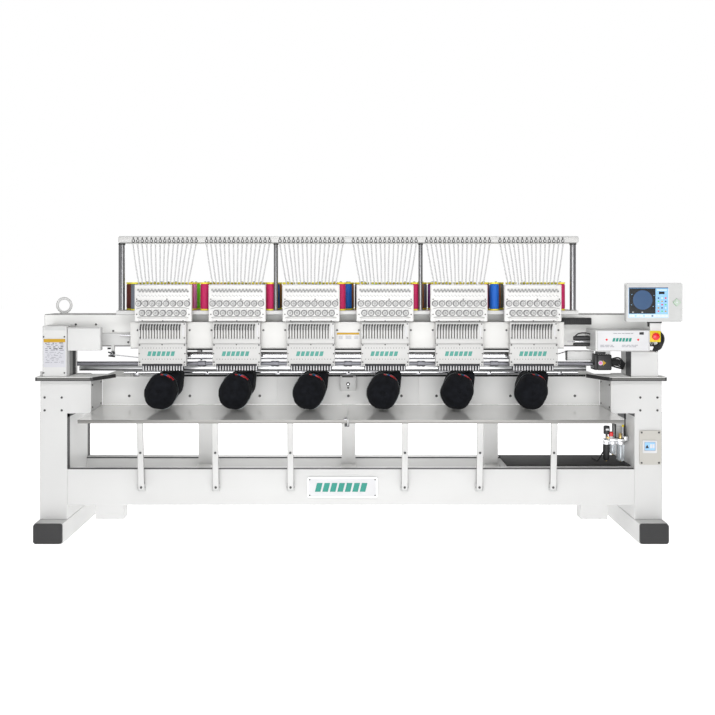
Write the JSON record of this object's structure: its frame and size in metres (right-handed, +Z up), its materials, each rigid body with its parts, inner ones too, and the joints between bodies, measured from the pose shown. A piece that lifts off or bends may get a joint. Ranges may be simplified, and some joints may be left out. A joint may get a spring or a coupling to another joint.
{
  "type": "multi-head embroidery machine",
  "caption": "Multi-head embroidery machine on a steel frame, with colour-change needle heads, a thread rack, cap frames on a pantograph, fold-down shelves and a control panel.",
  "frame": {"origin": "on the floor, under the middle of the whole machine's bounding box", "axes": "+X to the operator's right as they face the machine, -Y towards the operator, +Z up"},
  "size_m": [3.472, 1.34, 1.64],
  "materials": {
    "white_paint": "warm white powder coat, fine orange peel",
    "ivory_plastic": "ivory enamel, satin",
    "grey_plastic": "light grey moulded plastic",
    "table_laminate": "pale laminate on board, grey edge",
    "stainless": "polished stainless sheet",
    "polished_steel": "polished steel",
    "dark_steel": "dark turned steel",
    "aluminium": "anodised, satin",
    "black_plastic": "black moulded plastic",
    "cap_fabric": "black cotton twill",
    "thread": "wound embroidery thread, many colours",
    "clear_tube": "translucent grey tube",
    "red_plastic": "red gloss",
    "green_plastic": "pale green gloss",
    "panel_plastic": "light grey housing",
    "beige_plastic": "beige grey plate"
  },
  "bodies": {
    "root": {"foot_left": "white_paint", "foot_right": "white_paint", "pillar_left": "white_paint", "pillar_right": "white_paint", "front_beam": "white_paint", "rear_frame": "white_paint", "bed_beam": "white_paint", "column_left": "white_paint", "column_right": "white_paint", "upper_beam": "white_paint", "lifting_eye_left": "white_paint", "lifting_eye_right": "white_paint", "gear_cover": "white_paint", "drive_cover": "white_paint", "panel_arm": "white_paint", "foot_cap_left": "black_plastic", "foot_cap_right": "black_plastic", "shaft_motor": "black_plastic", "air_unit": "black_plastic", "table_left": "table_laminate", "table_right": "table_laminate", "rear_deck": "table_laminate", "head_arms": "polished_steel", "spool_tray": "thread", "thread_rack": "polished_steel", "thread_tubes": "clear_tube", "power_panel": "beige_plastic", "name_plate": "aluminium"},
    "carriage": {"link_rail": "ivory_plastic", "needle_case_1": "ivory_plastic", "needle_case_2": "ivory_plastic", "needle_case_3": "ivory_plastic", "needle_case_4": "ivory_plastic", "needle_case_5": "ivory_plastic", "needle_case_6": "ivory_plastic", "tension_base_1": "grey_plastic", "tension_base_2": "grey_plastic", "tension_base_3": "grey_plastic", "tension_base_4": "grey_plastic", "tension_base_5": "grey_plastic", "tension_base_6": "grey_plastic"},
    "pantograph": {"pantograph_bar": "aluminium"},
    "shaft": {"main_shaft": "dark_steel"},
    "panel": {"control_panel": "panel_plastic"},
    "start": {"start_button": "green_plastic"},
    "estop": {"estop_button": "red_plastic"},
    "shelf_l": {"shelf_left": "stainless"},
    "shelf_r": {"shelf_right": "stainless"},
    "cap_1": {"cap_1": "cap_fabric"},
    "stay_1": {"stay_1": "white_paint"},
    "cap_2": {"cap_2": "cap_fabric"},
    "stay_2": {"stay_2": "white_paint"},
    "cap_3": {"cap_3": "cap_fabric"},
    "stay_3": {"stay_3": "white_paint"},
    "cap_4": {"cap_4": "cap_fabric"},
    "stay_4": {"stay_4": "white_paint"},
    "cap_5": {"cap_5": "cap_fabric"},
    "stay_5": {"stay_5": "white_paint"},
    "cap_6": {"cap_6": "cap_fabric"},
    "stay_6": {"stay_6": "white_paint"}
  },
  "joints": [
    {"name": "colour_change", "type": "slide", "parent": "root", "child": "carriage", "axis": [1, 0, 0], "range_m": [-0.105, 0.105]},
    {"name": "pantograph_slide", "type": "slide", "parent": "root", "child": "pantograph", "axis": [0, 1, 0], "range_m": [-0.06, 0.02]},
    {"name": "cap_turn_1", "type": "hinge", "parent": "pantograph", "child": "cap_1", "pos_m": [-1.049, -0.29, 0.806], "axis": [0, 1, 0], "range_deg": [-120, 120]},
    {"name": "cap_turn_2", "type": "hinge", "parent": "pantograph", "child": "cap_2", "pos_m": [-0.649, -0.29, 0.806], "axis": [0, 1, 0], "range_deg": [-120, 120]},
    {"name": "cap_turn_3", "type": "hinge", "parent": "pantograph", "child": "cap_3", "pos_m": [-0.249, -0.29, 0.806], "axis": [0, 1, 0], "range_deg": [-120, 120]},
    {"name": "cap_turn_4", "type": "hinge", "parent": "pantograph", "child": "cap_4", "pos_m": [0.151, -0.29, 0.806], "axis": [0, 1, 0], "range_deg": [-120, 120]},
    {"name": "cap_turn_5", "type": "hinge", "parent": "pantograph", "child": "cap_5", "pos_m": [0.551, -0.29, 0.806], "axis": [0, 1, 0], "range_deg": [-120, 120]},
    {"name": "cap_turn_6", "type": "hinge", "parent": "pantograph", "child": "cap_6", "pos_m": [0.951, -0.29, 0.806], "axis": [0, 1, 0], "range_deg": [-120, 120]},
    {"name": "main_shaft_turn", "type": "hinge", "parent": "root", "child": "shaft", "pos_m": [-0.05, -0.36, 0.942], "axis": [1, 0, 0], "continuous": true},
    {"name": "panel_swivel", "type": "hinge", "parent": "root", "child": "panel", "pos_m": [1.594, -0.455, 1.176], "axis": [0, 0, 1], "range_deg": [-30, 30]},
    {"name": "start_press", "type": "slide", "parent": "panel", "child": "start", "axis": [0, 1, 0], "range_m": [0, 0.003], "stiffness_N_per_m": 400},
    {"name": "estop_press", "type": "slide", "parent": "root", "child": "estop", "axis": [0, 1, 0], "range_m": [0, 0.004], "stiffness_N_per_m": 800},
    {"name": "shelf_left_tilt", "type": "hinge", "parent": "root", "child": "shelf_l", "pos_m": [-0.74075, -0.243, 0.692], "axis": [1, 0, 0], "range_deg": [0, 30]},
    {"name": "shelf_right_tilt", "type": "hinge", "parent": "root", "child": "shelf_r", "pos_m": [0.65675, -0.243, 0.692], "axis": [1, 0, 0], "range_deg": [0, 30]},
    {"name": "stay_swing_1", "type": "hinge", "parent": "root", "child": "stay_1", "pos_m": [-1.158, -0.455, 0.288], "axis": [1, 0, 0], "range_deg": [0, 120]},
    {"name": "stay_swing_2", "type": "hinge", "parent": "root", "child": "stay_2", "pos_m": [-0.758, -0.455, 0.288], "axis": [1, 0, 0], "range_deg": [0, 120]},
    {"name": "stay_swing_3", "type": "hinge", "parent": "root", "child": "stay_3", "pos_m": [-0.357, -0.455, 0.288], "axis": [1, 0, 0], "range_deg": [0, 120]},
    {"name": "stay_swing_4", "type": "hinge", "parent": "root", "child": "stay_4", "pos_m": [0.255, -0.455, 0.288], "axis": [1, 0, 0], "range_deg": [0, 120]},
    {"name": "stay_swing_5", "type": "hinge", "parent": "root", "child": "stay_5", "pos_m": [0.656, -0.455, 0.288], "axis": [1, 0, 0], "range_deg": [0, 120]},
    {"name": "stay_swing_6", "type": "hinge", "parent": "root", "child": "stay_6", "pos_m": [1.051, -0.455, 0.288], "axis": [1, 0, 0], "range_deg": [0, 120]}
  ],
  "couplings": [
    {"joint": "cap_turn_2", "follows": "cap_turn_1", "ratio": 1},
    {"joint": "cap_turn_3", "follows": "cap_turn_1", "ratio": 1},
    {"joint": "cap_turn_4", "follows": "cap_turn_1", "ratio": 1},
    {"joint": "cap_turn_5", "follows": "cap_turn_1", "ratio": 1},
    {"joint": "cap_turn_6", "follows": "cap_turn_1", "ratio": 1},
    {"joint": "stay_swing_1", "follows": "shelf_left_tilt", "ratio": 4},
    {"joint": "stay_swing_2", "follows": "shelf_left_tilt", "ratio": 4},
    {"joint": "stay_swing_3", "follows": "shelf_left_tilt", "ratio": 4},
    {"joint": "stay_swing_4", "follows": "shelf_right_tilt", "ratio": 4},
    {"joint": "stay_swing_5", "follows": "shelf_right_tilt", "ratio": 4},
    {"joint": "stay_swing_6", "follows": "shelf_right_tilt", "ratio": 4}
  ]
}
